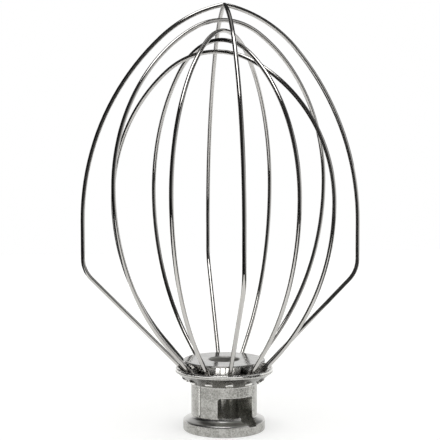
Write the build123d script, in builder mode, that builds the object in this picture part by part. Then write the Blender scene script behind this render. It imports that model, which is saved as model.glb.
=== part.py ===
from build123d import *
import os
from math import asin, atan2, cos, degrees, radians, sin, tan

# Wire whisk for a stand mixer, standing on its hub with the wires up.
# The origin is the centre of the hub's foot. X lies in the plane of the outer loop that lies under.

# Foot flange, drum and flared cup of the cast hub
flange_d = 38.6
flange_band = 5.0
flange_slope = 1.6
flange_round = 0.9
foot_round = 0.8
foot_cove = 1.6
drum_d = 31.0
drum_height = 15.6
cone_height = 5.4
rim_d = 45.8
lip_height = 1.8
lip_wall = 0.9
lip_round = 0.4
cup_wall = 1.3
parting_azimuth = -145.0
parting_width = 0.7
parting_depth = 0.35

# Bore for the mixer shaft, the bayonet slot for the pin in the shaft, and the notch over the way in
shaft_d = 12.7
shaft_clearance = 0.2
bore_chamfer = 0.6
slot_sill = 1.6
slot_height = 8.9
slot_corner = 1.5
slot_edge_round = 0.45
slot_azimuth = -109.0
channel_azimuth = -53.0
channel_width = 8.0
channel_depth = 10.75
notch_width = 5.6
notch_sill = 4.1
notch_corner = 0.8

# Retaining cap: a pressed disc with a drawn collar that sits in the hub
cap_d = 38.4
cap_sheet = 0.8
cap_rise = 3.7
cap_bend = 0.7
cap_edge_round = 0.25
collar_step = 0.55
collar_seat_depth = 1.5
collar_clearance = 0.02

# Wires, and how their ends are hooked through the cup and headed outside
wire_d = 2.0
hole_up_cone = 3.3
hole_clearance = 0.05
cup_gap = 0.1
hook_inner_radius = 0.45
leg_lift = 9.4
leg_straight = 5.0
head_d = 3.9
head_height = 0.75
head_round = 0.65
head_gap = 0.02

# Outer loops: straight legs, a kink, a short upright stretch and a pointed arch above it.
# The sides of a loop lean to one side of the axis, as bent wire does
overall_height = 199.2
outer_half_width = 64.7
outer_under_lean = -1.0
outer_over_lean = 0.0
outer_kink_radius = 13.5
outer_upright = 17.5
outer_shoulder_radius = 60.0
outer_point = 12.0
outer_tip_radius = 6.0
crossing_gap = 0.05

# Inner loops: smooth ovals nested below each other, the first one highest, whose crowns lean twice as far
belly_share = 0.54
first_gap = 5.0
first_half_width = 61.5
first_crown_radius = 40.0
first_lean = 0.5
second_gap = 2.8
second_half_width = 59.5
second_crown_radius = 44.0
second_lean = 0.95
third_gap = 2.1
third_half_width = 56.0
third_crown_radius = 42.5
third_lean = 2.25
fourth_gap = 3.45
fourth_half_width = 56.0
fourth_crown_radius = 39.5
fourth_lean = 2.3

# Worked out for the hub and the cap
flange_r = flange_d / 2
drum_r = drum_d / 2
rim_r = rim_d / 2
bore_r = (shaft_d + shaft_clearance) / 2
collar_bore_r = bore_r + collar_step
collar_r = collar_bore_r + cap_sheet
seat_r = collar_r + collar_clearance
flange_top = flange_band + flange_slope
drum_top = flange_top + drum_height
cone_top = drum_top + cone_height
rim_top = cone_top + lip_height
cone_angle = degrees(atan2(cone_height, rim_r - drum_r))
along_cone = Vector(cos(radians(cone_angle)), sin(radians(cone_angle)))
into_cup = Vector(-along_cone.Y, along_cone.X)
cup_corner = Vector(drum_r, drum_top) + into_cup * cup_wall
lip_r = rim_r - lip_wall
lip_foot = cup_corner.Y + (lip_r - cup_corner.X) * tan(radians(cone_angle))
seat_floor = cup_corner.Y - collar_seat_depth
cap_top = rim_top + cap_rise
slot_floor = flange_top + slot_sill
slot_ceiling = slot_floor + slot_height
slot_start = bore_r / 2
channel_reach = bore_r + channel_depth

# Worked out for the wires, in the plane of a loop: X outwards, Y up
wire_r = wire_d / 2
hole_point = Vector(drum_r, drum_top) + along_cone * hole_up_cone
hole_cut = 3 * cup_wall
hook_point = hole_point + into_cup * (cup_wall + cup_gap + wire_r)
hook_radius = wire_r + hook_inner_radius
head_point = hole_point - into_cup * head_gap
outer_crown = overall_height - wire_r
outer_tip_turn = degrees(asin(outer_point / (outer_shoulder_radius - outer_tip_radius)))
outer_tip_rise = (outer_shoulder_radius - outer_tip_radius) * (1 - cos(radians(outer_tip_turn)))
lap_side = wire_d + 2 * crossing_gap
first_crown = outer_crown - wire_d - first_gap
second_crown = first_crown - wire_d - second_gap
third_crown = second_crown - wire_d - third_gap
fourth_crown = third_crown - wire_d - fourth_gap

# Crown height, half width, crown radius and lean of each loop, in their order round the hub.
# The outer loops are pressed half into each other where they cross: the last entry is the side of the
# crown at which the cut for the other one starts
loops = {
    "outer_under": (outer_crown, outer_half_width, outer_shoulder_radius, outer_under_lean, Align.MIN),
    "inner_first": (first_crown, first_half_width, first_crown_radius, first_lean, None),
    "inner_second": (second_crown, second_half_width, second_crown_radius, second_lean, None),
    "outer_over": (outer_crown, outer_half_width, outer_shoulder_radius, outer_over_lean, Align.MAX),
    "inner_third": (third_crown, third_half_width, third_crown_radius, third_lean, None),
    "inner_fourth": (fourth_crown, fourth_half_width, fourth_crown_radius, fourth_lean, None),
}
loop_pitch = 180 / len(loops)

# All legs leave the hub at one angle: high enough above the cone to clear the lip, and steep enough to
# leave the least straight run between the hook and the bend of every inner loop
leg_angles = [cone_angle + leg_lift]
for crown, half_width, crown_radius, lean, lap in loops.values():
    if lap is None:
        rise = belly_share * (crown - hook_point.Y)
        reach = half_width - abs(lean) - hook_point.X
        bend_run = (reach**2 + rise**2 - leg_straight**2) / (2 * (rise + leg_straight))
        leg_angles.append(degrees(atan2(rise - bend_run, reach)))
leg_angle = max(leg_angles)
leg_turn = 90 - leg_angle
along_leg = Vector(cos(radians(leg_angle)), sin(radians(leg_angle)))
hook_turn = 90 - leg_angle + cone_angle
leg_foot = hook_point + along_leg * hook_radius * tan(radians(hook_turn / 2))


def ray_plane(azimuth):
    """Upright plane through the axis: its X points outwards at the azimuth, its Y points up."""
    ray = Vector(1, 0, 0).rotate(Axis.Z, azimuth)
    return Plane(origin=(0, 0, 0), x_dir=ray, z_dir=ray.cross(Vector(0, 0, 1)))


def ring_edge(part, radius, height):
    """The circular edge of a turned part at a radius and a height."""
    circles = part.edges().filter_by(GeomType.CIRCLE)
    return circles.sort_by(lambda edge: abs(edge.radius - radius) + abs(edge.arc_center.Z - height))[0]


def outer_belly(side_width):
    """Height of the belly of an outer loop, from the kink that its leg leads up to."""
    kink = hook_point.Y + (side_width - hook_point.X) * tan(radians(leg_angle))
    return kink + outer_kink_radius * tan(radians(leg_turn / 2)) + outer_upright


def inner_arc_radius(belly_z, side_width):
    """Radius of the one arc that leads from the belly of an inner loop down to its leg."""
    rise = belly_z - hook_point.Y
    reach = side_width - hook_point.X
    return (rise * along_leg.X - reach * along_leg.Y) / (1 - along_leg.Y)


def wire_loop(azimuth, crown, half_width, crown_radius, lean, lap):
    """One wire: from its crown down both sides, through the cup wall, with a head on each end."""
    plane = ray_plane(azimuth)
    is_outer = lap is not None
    crown_x = 0 if is_outer else 2 * lean
    with BuildPart() as loop:
        with BuildLine(plane) as path:
            for side in (1, -1):
                side_width = half_width + side * lean
                upper_width = side_width - side * crown_x
                belly_z = hook_point.Y + belly_share * (crown - hook_point.Y)
                drop = crown - belly_z
                if is_outer:
                    upper_width = upper_width + outer_point
                    belly_z = outer_belly(side_width)
                    drop = crown + outer_tip_rise - belly_z
                flank_radius = upper_width**2 + drop**2 - 2 * drop * crown_radius
                flank_radius = flank_radius / (2 * (upper_width - crown_radius))
                crown_turn = degrees(atan2(flank_radius - upper_width, drop - crown_radius))
                if is_outer:
                    tip = JernArc((crown_x, crown), (side, 0), outer_tip_radius, -side * outer_tip_turn)
                    top = JernArc(tip @ 1, tip % 1, crown_radius, -side * (crown_turn - outer_tip_turn))
                else:
                    top = JernArc((crown_x, crown), (side, 0), crown_radius, -side * crown_turn)
                flank = JernArc(top @ 1, top % 1, flank_radius, -side * (90 - crown_turn))
                if is_outer:
                    upright = Line(flank @ 1, flank @ 1 - Vector(0, 0, outer_upright))
                    lower = JernArc(upright @ 1, upright % 1, outer_kink_radius, -side * leg_turn)
                else:
                    lower_radius = inner_arc_radius(belly_z, side_width)
                    lower = JernArc(flank @ 1, flank % 1, lower_radius, -side * leg_turn)
                leg = Line(lower @ 1, (side * leg_foot.X, leg_foot.Y))
                hook = JernArc(leg @ 1, leg % 1, hook_radius, side * hook_turn)
                Line(hook @ 1, (side * head_point.X, head_point.Y))
        wire = path.wire()
        with BuildSketch(Plane(origin=wire @ 0, z_dir=wire % 0)):
            Circle(wire_r)
        sweep(path=wire)
        if is_outer:
            lap_floor = crown - crossing_gap / 2 if lap == Align.MIN else crown + crossing_gap / 2
            with Locations((0, 0, lap_floor)):
                Box(lap_side, lap_side, wire_d, align=(Align.CENTER, Align.CENTER, lap), mode=Mode.SUBTRACT)
        for side in (1, -1):
            seat = plane.from_local_coords((side * head_point.X, head_point.Y))
            outwards = plane.from_local_coords((-side * into_cup.X, -into_cup.Y))
            with BuildSketch(Plane(origin=seat, z_dir=outwards)):
                Circle(head_d / 2)
            extrude(amount=head_height)
        head_edges = loop.edges().filter_by(GeomType.CIRCLE)
        head_edges = head_edges.filter_by(lambda edge: abs(edge.radius - head_d / 2) < head_gap)
        fillet(head_edges.group_by(Axis.Z)[0], head_round)
    return loop


os.makedirs("parts", exist_ok=True)

# Room for the shaft's pin: a sector that it turns through, and the channel that it comes in by
with BuildPart() as bayonet:
    with BuildSketch(ray_plane(slot_azimuth)):
        with Locations((slot_start, slot_floor)):
            Rectangle(channel_reach - slot_start, slot_height, align=Align.MIN)
    revolve(axis=Axis.Z, revolution_arc=channel_azimuth - slot_azimuth)
    end_edges = bayonet.edges().filter_by(Axis((0, 0, 0), ray_plane(slot_azimuth).x_dir))
    fillet(end_edges, slot_corner)
    channel_ray = ray_plane(channel_azimuth).x_dir
    channel_plane = Plane(origin=(0, 0, 0), x_dir=channel_ray.rotate(Axis.Z, 90), z_dir=channel_ray)
    with BuildSketch(channel_plane) as mouth:
        Rectangle(channel_width, slot_ceiling, align=(Align.CENTER, Align.MIN))
        fillet(mouth.vertices().group_by(Axis.Y)[-1].sort_by(Axis.X)[-1], slot_corner)
    extrude(amount=channel_reach)
    with BuildSketch(channel_plane) as notch:
        with Locations((0, notch_sill)):
            Rectangle(notch_width, slot_floor - notch_sill, align=(Align.CENTER, Align.MIN))
        fillet(notch.vertices().group_by(Axis.Y)[0], notch_corner)
    extrude(amount=flange_r + notch_corner)

with BuildPart() as hub:
    with BuildSketch(Plane.XZ):
        with BuildLine():
            Polyline(
                (bore_r, 0),
                (flange_r, 0),
                (flange_r, flange_band),
                (drum_r, flange_top),
                (drum_r, drum_top),
                (rim_r, cone_top),
                (rim_r, rim_top),
                (lip_r, rim_top),
                (lip_r, lip_foot),
                (cup_corner.X, cup_corner.Y),
                (seat_r, cup_corner.Y),
                (seat_r, seat_floor),
                (bore_r, seat_floor),
                close=True,
            )
        make_face()
    revolve(axis=Axis.Z)
    fillet(ring_edge(hub, flange_r, 0), foot_round)
    fillet(ring_edge(hub, flange_r, flange_band), flange_round)
    fillet(ring_edge(hub, drum_r, flange_top), foot_cove)
    fillet([ring_edge(hub, rim_r, rim_top), ring_edge(hub, lip_r, rim_top)], lip_round)
    chamfer(ring_edge(hub, bore_r, 0), bore_chamfer)
    add(bayonet.part, mode=Mode.SUBTRACT)
    slot_end = ray_plane(slot_azimuth).from_local_coords((drum_r, (slot_floor + slot_ceiling) / 2))
    fillet(hub.edges().sort_by_distance(slot_end)[0], slot_edge_round)
    with PolarLocations(drum_r, 2, start_angle=parting_azimuth):
        with Locations((0, 0, flange_top + foot_cove)):
            Box(
                2 * parting_depth,
                parting_width,
                drum_height - foot_cove,
                align=(Align.CENTER, Align.CENTER, Align.MIN),
                mode=Mode.SUBTRACT,
            )
    with PolarLocations(hole_point.X, 2 * len(loops)):
        with Locations(Location((0, 0, hole_point.Y), (0, -cone_angle, 0))):
            Cylinder(wire_r + hole_clearance, hole_cut, mode=Mode.SUBTRACT)
hub.part.label = "hub"
export_step(hub.part, "parts/hub.step")

with BuildPart() as cap:
    with BuildSketch(Plane.XZ):
        with BuildLine():
            Polyline(
                (collar_bore_r, seat_floor),
                (collar_r, seat_floor),
                (collar_r, cap_top - cap_sheet),
                (cap_d / 2, cap_top - cap_sheet),
                (cap_d / 2, cap_top),
                (collar_bore_r, cap_top),
                close=True,
            )
        make_face()
    revolve(axis=Axis.Z)
    fillet(ring_edge(cap, collar_r, cap_top - cap_sheet), cap_bend)
    fillet(ring_edge(cap, collar_bore_r, cap_top), cap_bend)
    rim_edges = [ring_edge(cap, cap_d / 2, cap_top), ring_edge(cap, cap_d / 2, cap_top - cap_sheet)]
    fillet(rim_edges, cap_edge_round)
cap.part.label = "retaining_cap"
export_step(cap.part, "parts/retaining_cap.step")

for index, (loop_name, shape) in enumerate(loops.items()):
    loop = wire_loop(index * loop_pitch, *shape)
    loop.part.label = loop_name + "_loop"
    export_step(loop.part, f"parts/{loop_name}_loop.step")
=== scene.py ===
from math import pi, radians

import bpy
from mathutils import Matrix, Vector

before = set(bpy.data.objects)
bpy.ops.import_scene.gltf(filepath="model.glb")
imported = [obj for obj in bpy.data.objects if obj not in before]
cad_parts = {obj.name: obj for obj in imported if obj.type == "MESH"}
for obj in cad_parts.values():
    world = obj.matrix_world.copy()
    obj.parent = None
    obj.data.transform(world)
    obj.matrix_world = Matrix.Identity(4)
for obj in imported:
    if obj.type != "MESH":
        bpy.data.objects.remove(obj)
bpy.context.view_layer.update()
scene = bpy.context.scene
mm = 0.001
noiseLow, noiseHigh = 0.3, 0.7  # a noise pattern stays mostly between these
print("frame loaded with", len(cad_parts), "nodes")


def linearColour(hexCode):
    # sRGB hex to the linear values that shader sockets take
    channels = [int(hexCode[i:i + 2], 16) / 255 for i in (1, 3, 5)]
    return [c / 12.92 if c <= 0.04045 else ((c + 0.055) / 1.055) ** 2.4 for c in channels] + [1.0]


def addNode(tree, kind, values=None, links=None, **settings):
    node = tree.nodes.new(kind)
    for name, value in settings.items():
        setattr(node, name, value)
    for socket, value in (values or {}).items():
        node.inputs[socket].default_value = value
    for socket, source in (links or {}).items():
        tree.links.new(source, node.inputs[socket])
    return node


def newMaterial(name):
    material = bpy.data.materials.new(name)
    material.use_nodes = True
    material.node_tree.nodes.clear()
    return material, material.node_tree


def dress(nodeName, material):
    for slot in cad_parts[nodeName].material_slots:
        slot.material = material


# camera where the photograph was taken from, fitted to the wires
shot = {
    "place": (-76.5, -584.6, 140.2),  # mm
    "tilt": 85.971,  # degrees from straight down
    "heading": -7.265,  # degrees about the upright axis
    "focal": 103.6,  # mm
    "sensor": 36,  # mm
}
turnToCamera = Matrix.Rotation(radians(shot["heading"]), 4, "Z")


def makeCamera():
    cameraData = bpy.data.cameras.new("shotCamera")
    cameraData.lens = shot["focal"]
    cameraData.sensor_width = shot["sensor"]
    camera = bpy.data.objects.new("shotCamera", cameraData)
    camera.location = [v * mm for v in shot["place"]]
    camera.rotation_euler = (radians(shot["tilt"]), 0, radians(shot["heading"]))
    scene.collection.objects.link(camera)
    scene.camera = camera


makeCamera()
print("camera set")


# cast aluminium, die cast and then tumbled with fine stones: soft satin, cloudy, with small dents all over
# and edges that the stones have rubbed brighter, with a painted highlight on them; where they don't reach,
# the casting skin stays, painted pale to lift the shade there
castHub = {
    "bright": "#BAB9B5",
    "brightAt": 0.85,  # of the pattern of clouds and dents
    "dull": "#868580",
    "dullAt": 0.42,
    # casting skin inside the bore and the slot, painted pale as light to lift the shade there
    "skinAndPaintedLight": "#CFCEC9",
    "cloud": 4.5,  # mm across a cloudy patch
    "cloudDetail": 5.0,
    "cloudGrain": 0.65,
    "dent": 0.9,  # mm across a dent; real ones are about 0.3 mm, drawn coarser so that they show
    "dentBlend": 0.6,  # how softly one dent runs into the next
    "dentShare": 0.45,  # how much the dents show among the clouds
    "dentDepth": 0.06,  # mm
    "grain": 0.45,  # mm across a smoother or rougher spot, drawn coarser in the same way
    "grainDetail": 3.0,
    "smoothest": 0.17,
    "roughest": 0.32,
    "stonesFrom": 14.9,  # mm from the axis where the stones begin to reach, and where they do so fully
    "stonesFully": 15.4,
    "footFrom": 1.0,  # mm above the foot, for the same on its underside
    "footFully": 0.2,
    "cupFloor": 21.6,  # mm above the foot; above it the cup is open and tumbled all over
    # painted shade: a darker tone on the underside of the flare
    "flareShade": "#5E5D59",
    "flareShadeShare": 0.55,  # how much of this darker tone is painted under the flare, as painted shade
    "coneFoot": 22.0,  # mm above the foot to the lower end of the flare, its soft start and its lip
    "coneStart": 0.4,
    "coneTop": 27.4,
    "burnished": "#DAD9D6",
    "burnishedRoughness": 0.10,
    "flare": 1.37,  # how far the cup's wall goes outwards for each mm up
    "wallMiddle": -16.0,  # mm from the axis to the middle of that wall, carried down to the foot
    # edges: partly worn brighter by the stones, partly a painted highlight
    "edge": "#ECEBE8",
    "edgeRoughness": 0.15,
    "edgeReach": 0.7,  # mm of an edge that is rubbed bright and painted with a highlight
    "edgeLean": 0.9,  # cosine of the lean where an edge is rubbed fully
    "edgeSamples": 6,
    # strip beside the casting line: partly the ground-off flash, partly painted shade
    "groundStripAndShade": "#8A8985",
    "castingLine": 35.0,  # degrees; the two casting lines are in this upright plane
    "groundMiddle": -0.45,  # mm from that plane to the middle of the strip where the flash was ground off, set to one side so that it paints a shade beside the line
    "groundHalf": 0.5,  # mm
    "groundRadius": 15.3,  # mm from the axis, give or take the next
    "groundDepth": 0.35,
    # painted light: a lighter, smoother tone on the upward faces on top of the flange
    "flangeTopPaintedLight": "#E2E1DE",
    "flangeTopPaintedLightRoughness": 0.30,
    "flangeLightTop": 7.3,  # mm above the foot; up to here the upward faces on top of the flange are painted lighter, as painted light
    "upFrom": 0.1,  # upward part of the normal where that top begins, and where it is full
    "upFully": 0.5,
}


def castPattern(tree, place):
    # clouds with the dents on top give the tone and the bump, fine grains the roughness
    clouds = addNode(tree, "ShaderNodeTexNoise",
                     {"Scale": 1 / (castHub["cloud"] * mm), "Detail": castHub["cloudDetail"],
                      "Roughness": castHub["cloudGrain"]}, {"Vector": place})
    dents = addNode(tree, "ShaderNodeTexVoronoi",
                    {"Scale": 1 / (castHub["dent"] * mm), "Smoothness": castHub["dentBlend"]},
                    {"Vector": place}, feature="SMOOTH_F1")
    blotches = addNode(tree, "ShaderNodeMath", {1: castHub["dentShare"]},
                       {0: dents.outputs["Distance"], 2: clouds.outputs["Fac"]}, operation="MULTIPLY_ADD")
    tone = addNode(tree, "ShaderNodeValToRGB", links={"Fac": blotches.outputs[0]})
    low, high = tone.color_ramp.elements
    low.position, low.color = castHub["dullAt"], linearColour(castHub["dull"])
    high.position, high.color = castHub["brightAt"], linearColour(castHub["bright"])
    grains = addNode(tree, "ShaderNodeTexNoise",
                     {"Scale": 1 / (castHub["grain"] * mm), "Detail": castHub["grainDetail"]},
                     {"Vector": place})
    rough = addNode(tree, "ShaderNodeMapRange",
                    {"From Min": noiseLow, "From Max": noiseHigh,
                     "To Min": castHub["smoothest"], "To Max": castHub["roughest"]},
                    {"Value": grains.outputs["Fac"]})
    return tone.outputs["Color"], rough.outputs["Result"], blotches.outputs[0]


def hubZones(tree, place, facing):
    # each zone says how much of that finish, painted shade or painted light the hub has at a place, from 0
    # to 1
    level = addNode(tree, "ShaderNodeVectorMath", {1: (1, 1, 0)}, {0: place}, operation="MULTIPLY")
    out = addNode(tree, "ShaderNodeVectorMath", links={0: level.outputs["Vector"]}, operation="LENGTH")
    radius = out.outputs["Value"]
    height = addNode(tree, "ShaderNodeSeparateXYZ", links={"Vector": place}).outputs["Z"]
    # the stones reach the outside of the drum, the cup and the underside of the foot
    outside = addNode(tree, "ShaderNodeMapRange",
                      {"From Min": castHub["stonesFrom"] * mm, "From Max": castHub["stonesFully"] * mm},
                      {"Value": radius})
    inCup = addNode(tree, "ShaderNodeMath", {1: castHub["cupFloor"] * mm}, {0: height},
                    operation="GREATER_THAN")
    onFoot = addNode(tree, "ShaderNodeMapRange",
                     {"From Min": castHub["footFrom"] * mm, "From Max": castHub["footFully"] * mm},
                     {"Value": height})
    outsideOrCup = addNode(tree, "ShaderNodeMath", links={0: outside.outputs["Result"], 1: inCup.outputs[0]},
                           operation="MAXIMUM")
    tumbled = addNode(tree, "ShaderNodeMath",
                      links={0: outsideOrCup.outputs[0], 1: onFoot.outputs["Result"]}, operation="MAXIMUM")
    # under the flare a darker tone is painted in, as painted shade
    aboveDrum = addNode(tree, "ShaderNodeMapRange",
                        {"From Min": castHub["coneFoot"] * mm,
                         "From Max": (castHub["coneFoot"] + castHub["coneStart"]) * mm,
                         "To Max": castHub["flareShadeShare"]}, {"Value": height})
    belowLip = addNode(tree, "ShaderNodeMath", {1: castHub["coneTop"] * mm}, {0: height},
                       operation="LESS_THAN")
    flareShade = addNode(tree, "ShaderNodeMath",
                        links={0: aboveDrum.outputs["Result"], 1: belowLip.outputs[0]}, operation="MULTIPLY")
    # inside the cup the burnishing wheel has been
    fromWall = addNode(tree, "ShaderNodeMath", {1: -castHub["flare"]}, {0: height, 2: radius},
                       operation="MULTIPLY_ADD")
    inWall = addNode(tree, "ShaderNodeMath", {1: castHub["wallMiddle"] * mm}, {0: fromWall.outputs[0]},
                     operation="LESS_THAN")
    burnished = addNode(tree, "ShaderNodeMath", links={0: inWall.outputs[0], 1: inCup.outputs[0]},
                        operation="MULTIPLY")
    # a darker strip runs beside each casting line: the ground-off flash, and painted shade on one side of
    # the line
    toLine = addNode(tree, "ShaderNodeMapping", {"Rotation": (0, 0, -radians(castHub["castingLine"]))},
                     {"Vector": place})
    lineSide = addNode(tree, "ShaderNodeSeparateXYZ", links={"Vector": toLine.outputs[0]}).outputs["Y"]
    beside = addNode(tree, "ShaderNodeMath",
                     {1: castHub["groundMiddle"] * mm, 2: castHub["groundHalf"] * mm}, {0: lineSide},
                     operation="COMPARE")
    onDrum = addNode(tree, "ShaderNodeMath",
                     {1: castHub["groundRadius"] * mm, 2: castHub["groundDepth"] * mm}, {0: radius},
                     operation="COMPARE")
    groundStripAndShade = addNode(tree, "ShaderNodeMath", links={0: beside.outputs[0], 1: onDrum.outputs[0]},
                     operation="MULTIPLY")
    # the upward faces on top of the flange are painted lighter and made smoother, as painted light from
    # above
    upPart = addNode(tree, "ShaderNodeSeparateXYZ", links={"Vector": facing}).outputs["Z"]
    upward = addNode(tree, "ShaderNodeMapRange",
                     {"From Min": castHub["upFrom"], "From Max": castHub["upFully"]}, {"Value": upPart})
    onFlange = addNode(tree, "ShaderNodeMath", {1: castHub["flangeLightTop"] * mm}, {0: height},
                       operation="LESS_THAN")
    flangeTop = addNode(tree, "ShaderNodeMath", links={0: upward.outputs["Result"], 1: onFlange.outputs[0]},
                        operation="MULTIPLY")
    flangeTopPaintedLight = addNode(tree, "ShaderNodeMath", links={0: flangeTop.outputs[0], 1: outside.outputs["Result"]},
                     operation="MULTIPLY")
    zones = {"tumbled": tumbled, "flareShade": flareShade, "burnished": burnished, "groundStripAndShade": groundStripAndShade,
             "flangeTopPaintedLight": flangeTopPaintedLight}
    return {name: node.outputs[0] for name, node in zones.items()}


def makeCastAluminium():
    material, tree = newMaterial("cast_aluminium_tumbled")
    place = addNode(tree, "ShaderNodeTexCoord").outputs["Object"]
    facing = addNode(tree, "ShaderNodeNewGeometry").outputs["Normal"]
    tone, rough, blotches = castPattern(tree, place)
    zones = hubZones(tree, place, facing)
    # an edge is where the rounded normal leaves the true one
    rounded = addNode(tree, "ShaderNodeBevel", {"Radius": castHub["edgeReach"] * mm},
                      samples=castHub["edgeSamples"]).outputs["Normal"]
    lean = addNode(tree, "ShaderNodeVectorMath", links={0: rounded, 1: facing}, operation="DOT_PRODUCT")
    # the edges are worn brighter and also carry a painted highlight
    edgeWearAndHighlight = addNode(tree, "ShaderNodeMapRange", {"From Min": 1.0, "From Max": castHub["edgeLean"]},
                     {"Value": lean.outputs["Value"]})
    zones["edge"] = edgeWearAndHighlight.outputs["Result"]
    # one tone over another: the finishes, with painted shade, painted highlight and painted light among them
    colour = addNode(tree, "ShaderNodeMix", {"A": linearColour(castHub["skinAndPaintedLight"])},
                     {"Factor": zones["tumbled"], "B": tone}, data_type="RGBA").outputs["Result"]
    for name in ("flareShade", "burnished", "edge", "groundStripAndShade", "flangeTopPaintedLight"):
        colour = addNode(tree, "ShaderNodeMix", {"B": linearColour(castHub[name])},
                         {"Factor": zones[name], "A": colour}, data_type="RGBA").outputs["Result"]
    for name in ("burnished", "edge", "flangeTopPaintedLight"):
        rough = addNode(tree, "ShaderNodeMix", {"B": castHub[name + "Roughness"]},
                        {"Factor": zones[name], "A": rough}, data_type="FLOAT").outputs["Result"]
    bump = addNode(tree, "ShaderNodeBump", {"Distance": castHub["dentDepth"] * mm},
                   {"Height": blotches, "Normal": rounded})
    shader = addNode(tree, "ShaderNodeBsdfPrincipled", {"Metallic": 1.0},
                     {"Base Color": colour, "Roughness": rough, "Normal": bump.outputs["Normal"]})
    addNode(tree, "ShaderNodeOutputMaterial", links={"Surface": shader.outputs["BSDF"]})
    return material


dress("hub", makeCastAluminium())
print("hub dressed")


# stainless sheet, pressed and mirror polished on a spindle: faint rings round the hole and a soft haze;
# the collar below the disc is painted near white as a painted reflection, and inside it, where the polishing
# wheel doesn't reach, is the matt grey of drawn sheet, painted paler to lift the shade there
polishedCap = {
    "colour": "#B0AFAC",
    "colourAt": 0.65,  # of the hazy pattern
    "haze": "#989794",
    "hazeAt": 0.35,
    "cloud": 5.0,  # mm across a hazy patch
    "cloudDetail": 4.0,
    "ring": 0.5,  # mm between polishing rings; real ones are under 0.05 mm, drawn coarser so that they show
    "ringWobble": 2.0,
    "smoothest": 0.09,
    "roughest": 0.24,
    # painted reflection: the collar is made near white to show the bright reflection under the disc
    "collarPaintedBright": "#FAF9F7",
    "collarPaintedBrightRoughness": 0.20,
    "discBottom": 32.2,  # mm above the foot; below it is the collar
    # matt drawn sheet inside the hole, its paler colour painted light to lift the shade there
    "drawn": "#D2D1CE",
    "drawnRoughness": 0.75,
    "wheelFrom": 7.2,  # mm from the axis where the wheel begins to reach, and where it does so fully
    "wheelFully": 7.6,
}


def makePolishedStainless():
    material, tree = newMaterial("stainless_sheet_polished")
    place = addNode(tree, "ShaderNodeTexCoord").outputs["Object"]
    waveRate = 20  # radians that the wave texture goes on in a metre at scale 1
    rings = addNode(tree, "ShaderNodeTexWave",
                    {"Scale": 2 * pi / (waveRate * polishedCap["ring"] * mm),
                     "Distortion": polishedCap["ringWobble"]},
                    {"Vector": place}, wave_type="RINGS", rings_direction="Z")
    haze = addNode(tree, "ShaderNodeTexNoise",
                   {"Scale": 1 / (polishedCap["cloud"] * mm), "Detail": polishedCap["cloudDetail"]},
                   {"Vector": place})
    tone = addNode(tree, "ShaderNodeValToRGB", links={"Fac": haze.outputs["Fac"]})
    low, high = tone.color_ramp.elements
    low.position, low.color = polishedCap["hazeAt"], linearColour(polishedCap["haze"])
    high.position, high.color = polishedCap["colourAt"], linearColour(polishedCap["colour"])
    hazyRings = addNode(tree, "ShaderNodeMath", links={0: rings.outputs["Fac"], 1: haze.outputs["Fac"]},
                        operation="MULTIPLY")
    rough = addNode(tree, "ShaderNodeMapRange",
                    {"From Max": noiseHigh,
                     "To Min": polishedCap["smoothest"], "To Max": polishedCap["roughest"]},
                    {"Value": hazyRings.outputs[0]})
    # above the collar is the disc, and out from the hole the wheel reaches both
    height = addNode(tree, "ShaderNodeSeparateXYZ", links={"Vector": place}).outputs["Z"]
    onDisc = addNode(tree, "ShaderNodeMath", {1: polishedCap["discBottom"] * mm}, {0: height},
                     operation="GREATER_THAN")
    level = addNode(tree, "ShaderNodeVectorMath", {1: (1, 1, 0)}, {0: place}, operation="MULTIPLY")
    out = addNode(tree, "ShaderNodeVectorMath", links={0: level.outputs["Vector"]}, operation="LENGTH")
    wheel = addNode(tree, "ShaderNodeMapRange",
                    {"From Min": polishedCap["wheelFrom"] * mm, "From Max": polishedCap["wheelFully"] * mm},
                    {"Value": out.outputs["Value"]})
    # below the disc the collar carries a painted reflection; inside the hole the matt sheet is painted paler
    # as light
    colour, sheen = tone.outputs["Color"], rough.outputs["Result"]
    for name, beyond in (("collarPaintedBright", onDisc), ("drawn", wheel)):
        colour = addNode(tree, "ShaderNodeMix", {"A": linearColour(polishedCap[name])},
                         {"Factor": beyond.outputs[0], "B": colour}, data_type="RGBA").outputs["Result"]
        sheen = addNode(tree, "ShaderNodeMix", {"A": polishedCap[name + "Roughness"]},
                        {"Factor": beyond.outputs[0], "B": sheen}, data_type="FLOAT").outputs["Result"]
    shader = addNode(tree, "ShaderNodeBsdfPrincipled", {"Metallic": 1.0},
                     {"Base Color": colour, "Roughness": sheen})
    addNode(tree, "ShaderNodeOutputMaterial", links={"Surface": shader.outputs["BSDF"]})
    return material


dress("retaining_cap", makePolishedStainless())
print("cap dressed")


# stainless spring wire, drawn through a die and electropolished: bright, with faint die lines along it;
# the heads on its ends are upset with a punch, softer in their shine and painted pale as a highlight
springWire = {
    "colour": "#C8C6C3",
    "colourAt": 0.65,  # of the pattern of lines
    "line": "#B4B2AF",
    "lineAt": 0.35,
    "dieLine": 0.35,  # mm between die lines; real ones are about 0.02 mm, drawn coarser so that they show
    "lineRun": 30.0,  # mm that a line can be followed
    "lineDetail": 3.0,
    "lineGrain": 0.6,
    "smoothest": 0.05,
    "roughest": 0.12,
    # painted highlight: the heads are made near white
    "head": "#EEEDEA",
    "headRoughness": 0.25,
    "headTop": 25.3,  # mm above the foot; the heads are below it, outside the cup
    "headPlace": (18.6, 0, 23.5),  # mm, in the plane of the loop
    "headRadius": 1.95,  # mm
    "headDome": 0.6,  # mm that the punch leaves the middle proud
}


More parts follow.
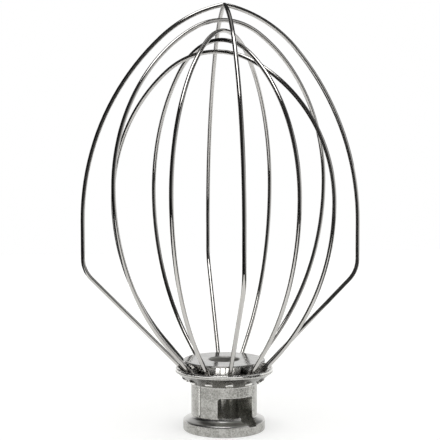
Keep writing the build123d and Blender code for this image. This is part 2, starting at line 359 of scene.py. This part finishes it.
def makeDrawnStainless(loopName, turn):
    # a die line keeps its distance from the plane of its loop, so the pattern is turned to that plane
    material, tree = newMaterial("stainless_wire_drawn_" + loopName)
    place = addNode(tree, "ShaderNodeTexCoord").outputs["Object"]
    inPlane = addNode(tree, "ShaderNodeMapping", {"Rotation": (0, 0, -turn)}, {"Vector": place}).outputs[0]
    along = 1 / (springWire["lineRun"] * mm)
    across = 1 / (springWire["dieLine"] * mm)
    drawn = addNode(tree, "ShaderNodeMapping", {"Scale": (along, across, along)}, {"Vector": inPlane})
    lines = addNode(tree, "ShaderNodeTexNoise",
                    {"Scale": 1.0, "Detail": springWire["lineDetail"], "Roughness": springWire["lineGrain"]},
                    {"Vector": drawn.outputs[0]})
    tone = addNode(tree, "ShaderNodeValToRGB", links={"Fac": lines.outputs["Fac"]})
    low, high = tone.color_ramp.elements
    low.position, low.color = springWire["lineAt"], linearColour(springWire["line"])
    high.position, high.color = springWire["colourAt"], linearColour(springWire["colour"])
    rough = addNode(tree, "ShaderNodeMapRange",
                    {"From Min": noiseLow, "From Max": noiseHigh,
                     "To Min": springWire["roughest"], "To Max": springWire["smoothest"]},
                    {"Value": lines.outputs["Fac"]})
    # the two heads, with a slight dome that falls off with the square of the way from the middle
    height = addNode(tree, "ShaderNodeSeparateXYZ", links={"Vector": place}).outputs["Z"]
    upset = addNode(tree, "ShaderNodeMath", {1: springWire["headTop"] * mm}, {0: height},
                    operation="LESS_THAN").outputs[0]
    # the heads are painted pale, as a highlight
    colour = addNode(tree, "ShaderNodeMix", {"B": linearColour(springWire["head"])},
                     {"Factor": upset, "A": tone.outputs["Color"]}, data_type="RGBA")
    sheen = addNode(tree, "ShaderNodeMix", {"B": springWire["headRoughness"]},
                    {"Factor": upset, "A": rough.outputs["Result"]}, data_type="FLOAT")
    bothEnds = addNode(tree, "ShaderNodeVectorMath", links={0: inPlane}, operation="ABSOLUTE")
    away = addNode(tree, "ShaderNodeVectorMath", {1: [v * mm for v in springWire["headPlace"]]},
                   {0: bothEnds.outputs["Vector"]}, operation="DISTANCE")
    share = addNode(tree, "ShaderNodeMath", {1: springWire["headRadius"] * mm}, {0: away.outputs["Value"]},
                    operation="DIVIDE").outputs[0]
    fall = addNode(tree, "ShaderNodeMath", links={0: share, 1: share}, operation="MULTIPLY")
    dome = addNode(tree, "ShaderNodeBump", {"Distance": springWire["headDome"] * mm},
                   {"Strength": upset, "Height": fall.outputs[0]}, invert=True)
    shader = addNode(tree, "ShaderNodeBsdfPrincipled", {"Metallic": 1.0},
                     {"Base Color": colour.outputs["Result"], "Roughness": sheen.outputs["Result"],
                      "Normal": dome.outputs["Normal"]})
    addNode(tree, "ShaderNodeOutputMaterial", links={"Surface": shader.outputs["BSDF"]})
    return material


# the loops in the order they stand round the hub
loopOrder = ["outer_under", "inner_first", "inner_second", "outer_over", "inner_third", "inner_fourth"]
for index, loopName in enumerate(loopOrder):
    dress(loopName + "_loop", makeDrawnStainless(loopName, index * pi / len(loopOrder)))
print("wires dressed")


# white table that keeps the whisk's shadow, seen as white by the camera and in the metal; lengths in m
table = {
    "size": 1.7,
    "colour": "#BABAB8",
    "glowNear": 0.58,  # at the whisk, where the soft box lights the table
    "glowFar": 0.78,  # out at "reach", where it hardly does
    "reach": 0.8,
    "covered": 0.0185,  # out to here, and then over a narrow edge, the hub stands over the table
    "coveredEdge": 0.0005,
    "coveredShare": 0.12,  # of the glow that stays there, so that the bore and the slot are dark
}


def makeTable():
    bpy.ops.object.select_all(action="DESELECT")
    bpy.ops.mesh.primitive_plane_add(size=table["size"], location=(0, 0, 0))
    floor = bpy.context.active_object
    floor.name = "table"
    material, tree = newMaterial("white_card_matt")
    place = addNode(tree, "ShaderNodeTexCoord").outputs["Object"]
    away = addNode(tree, "ShaderNodeVectorMath", links={0: place}, operation="LENGTH").outputs["Value"]
    level = addNode(tree, "ShaderNodeMapRange",
                    {"From Max": table["reach"], "To Min": table["glowNear"], "To Max": table["glowFar"]},
                    {"Value": away})
    clear = addNode(tree, "ShaderNodeMapRange",
                    {"From Min": table["covered"], "From Max": table["covered"] + table["coveredEdge"],
                     "To Min": table["coveredShare"], "To Max": 1.0}, {"Value": away})
    ray = addNode(tree, "ShaderNodeLightPath")
    direct = addNode(tree, "ShaderNodeMath",
                     links={0: ray.outputs["Is Camera Ray"], 1: ray.outputs["Is Glossy Ray"]},
                     operation="MAXIMUM")
    seen = addNode(tree, "ShaderNodeMath",
                   links={0: direct.outputs[0], 1: ray.outputs["Is Transmission Ray"]}, operation="MAXIMUM")
    seenClear = addNode(tree, "ShaderNodeMath", links={0: seen.outputs[0], 1: clear.outputs["Result"]},
                        operation="MULTIPLY")
    strength = addNode(tree, "ShaderNodeMath", links={0: level.outputs["Result"], 1: seenClear.outputs[0]},
                       operation="MULTIPLY")
    diffuse = addNode(tree, "ShaderNodeBsdfDiffuse", {"Color": linearColour(table["colour"])})
    glow = addNode(tree, "ShaderNodeEmission", links={"Strength": strength.outputs[0]})
    both = addNode(tree, "ShaderNodeAddShader",
                   links={0: diffuse.outputs["BSDF"], 1: glow.outputs["Emission"]})
    addNode(tree, "ShaderNodeOutputMaterial", links={"Surface": both.outputs["Shader"]})
    floor.data.materials.append(material)


makeTable()

# cards round the set, seen only in the metal: dark on the left, in front and overhead, paler low down on the
# right, so each upright wire has a dark left side that fades to white and each arch has dark and bright
# bands; lengths in m as seen from the camera, shades from left to right or, at the sides, from front to back
lying, upright, sideways = (0, 0), (90, 0), (90, 90)  # degrees of tip and turn
cards = {
    "front": {"place": (0, -1.3, 0.9), "size": (2.6, 1.9), "turn": upright, "shades": (0.01, 0.10)},
    "left": {"place": (-0.8, -0.43, 0.8), "size": (1.75, 1.6), "turn": sideways, "shades": (0.01, 0.01)},
    "right": {"place": (0.8, -0.65, 0.35), "size": (1.3, 0.7), "turn": sideways, "shades": (0.06, 0.9)},
    "rightHigh": {"place": (0.8, -0.2, 1.15), "size": (2.2, 0.9), "turn": sideways, "shades": (0.05, 0.35)},
    "backHigh": {"place": (0, 0.95, 1.0), "size": (1.75, 1.1), "turn": upright, "shades": (0.02, 0.05)},
    "leftBackHigh": {"place": (-0.82, 0.7, 0.95), "size": (0.7, 1.2), "turn": sideways,
                     "shades": (0.02, 0.05)},
    "rightBackHigh": {"place": (0.82, 0.5, 0.88), "size": (1.1, 1.3), "turn": sideways,
                      "shades": (0.05, 0.05)},
    "ceiling": {"place": (0, -0.15, 1.0), "size": (1.8, 2.3), "turn": lying, "shades": (0.04, 0.04)},
    # a grey strip behind the soft box, and a flag that hides one corner of it
    "backTop": {"place": (0, 0.36, 0.96), "size": (0.5, 0.6), "turn": lying, "shades": (0.42, 0.42)},
    "boxCorner": {"place": (0.24, -0.36, 0.94), "size": (0.22, 0.5), "turn": lying, "shades": (0.04, 0.04)},
    # a small one near the whisk, for the top of the flange
    "flange": {"place": (-0.07, 0.15, 0.165), "size": (0.14, 0.16), "turn": upright, "shades": (0.4, 0.4)},
    # flat on the table, for the lower side of what is bent outwards
    "tableLeft": {"place": (-0.62, -0.5, 0.001), "size": (0.92, 1.6), "turn": lying, "shades": (0.01, 0.01)},
    "tableRight": {"place": (0.575, -0.65, 0.001), "size": (0.92, 1.3), "turn": lying,
                   "shades": (0.02, 0.2)},
    "tableFront": {"place": (0, -0.95, 0.001), "size": (0.32, 0.9), "turn": lying, "shades": (0.01, 0.02)},
}


def makeCards():
    sheetHalf = 0.5  # a sheet is 1 m across before it is scaled
    for name, card in cards.items():
        bpy.ops.object.select_all(action="DESELECT")
        bpy.ops.mesh.primitive_plane_add(size=2 * sheetHalf)
        sheet = bpy.context.active_object
        sheet.name = name + "Card"
        sheet.scale = (*card["size"], 1)
        sheet.location = turnToCamera @ Vector(card["place"])
        tip, turn = card["turn"]
        sheet.rotation_euler = (radians(tip), 0, radians(turn + shot["heading"]))
        sheet.visible_camera = False
        sheet.visible_diffuse = False
        sheet.visible_shadow = False
        material, tree = newMaterial(name + "_card_matt")
        place = addNode(tree, "ShaderNodeTexCoord").outputs["Object"]
        across = addNode(tree, "ShaderNodeSeparateXYZ", links={"Vector": place}).outputs["X"]
        first, last = card["shades"]
        shade = addNode(tree, "ShaderNodeMapRange",
                        {"From Min": -sheetHalf, "From Max": sheetHalf, "To Min": first, "To Max": last},
                        {"Value": across})
        glow = addNode(tree, "ShaderNodeEmission", links={"Strength": shade.outputs["Result"]})
        addNode(tree, "ShaderNodeOutputMaterial", links={"Surface": glow.outputs["Emission"]})
        sheet.data.materials.append(material)


makeCards()
print("stage set")

# one large soft box overhead, a little to the front; lengths in m, power in W
softBox = {"place": (0, -0.25, 0.95), "size": (0.6, 0.62), "power": 4.8}


def makeSoftBox():
    lightData = bpy.data.lights.new("softBox", "AREA")
    lightData.shape = "RECTANGLE"
    lightData.size, lightData.size_y = softBox["size"]
    lightData.energy = softBox["power"]
    light = bpy.data.objects.new("softBox", lightData)
    light.location = turnToCamera @ Vector(softBox["place"])
    light.rotation_euler = (0, 0, radians(shot["heading"]))
    scene.collection.objects.link(light)


# white surroundings, brighter to the eye and in the metal than as a light
room = {"seen": 1.0, "fill": 0.5}


def makeRoom():
    world = bpy.data.worlds.new("whiteRoom")
    scene.world = world
    world.use_nodes = True
    tree = world.node_tree
    tree.nodes.clear()
    ray = addNode(tree, "ShaderNodeLightPath")
    direct = addNode(tree, "ShaderNodeMath",
                     links={0: ray.outputs["Is Camera Ray"], 1: ray.outputs["Is Glossy Ray"]},
                     operation="MAXIMUM")
    seen = addNode(tree, "ShaderNodeMath",
                   links={0: direct.outputs[0], 1: ray.outputs["Is Transmission Ray"]}, operation="MAXIMUM")
    level = addNode(tree, "ShaderNodeMapRange", {"To Min": room["fill"], "To Max": room["seen"]},
                    {"Value": seen.outputs[0]})
    sky = addNode(tree, "ShaderNodeBackground", {"Color": linearColour("#FFFFFF")},
                  {"Strength": level.outputs["Result"]})
    addNode(tree, "ShaderNodeOutputWorld", links={"Surface": sky.outputs["Background"]})


makeSoftBox()
makeRoom()
scene.view_settings.view_transform = "Standard"
print("light set")
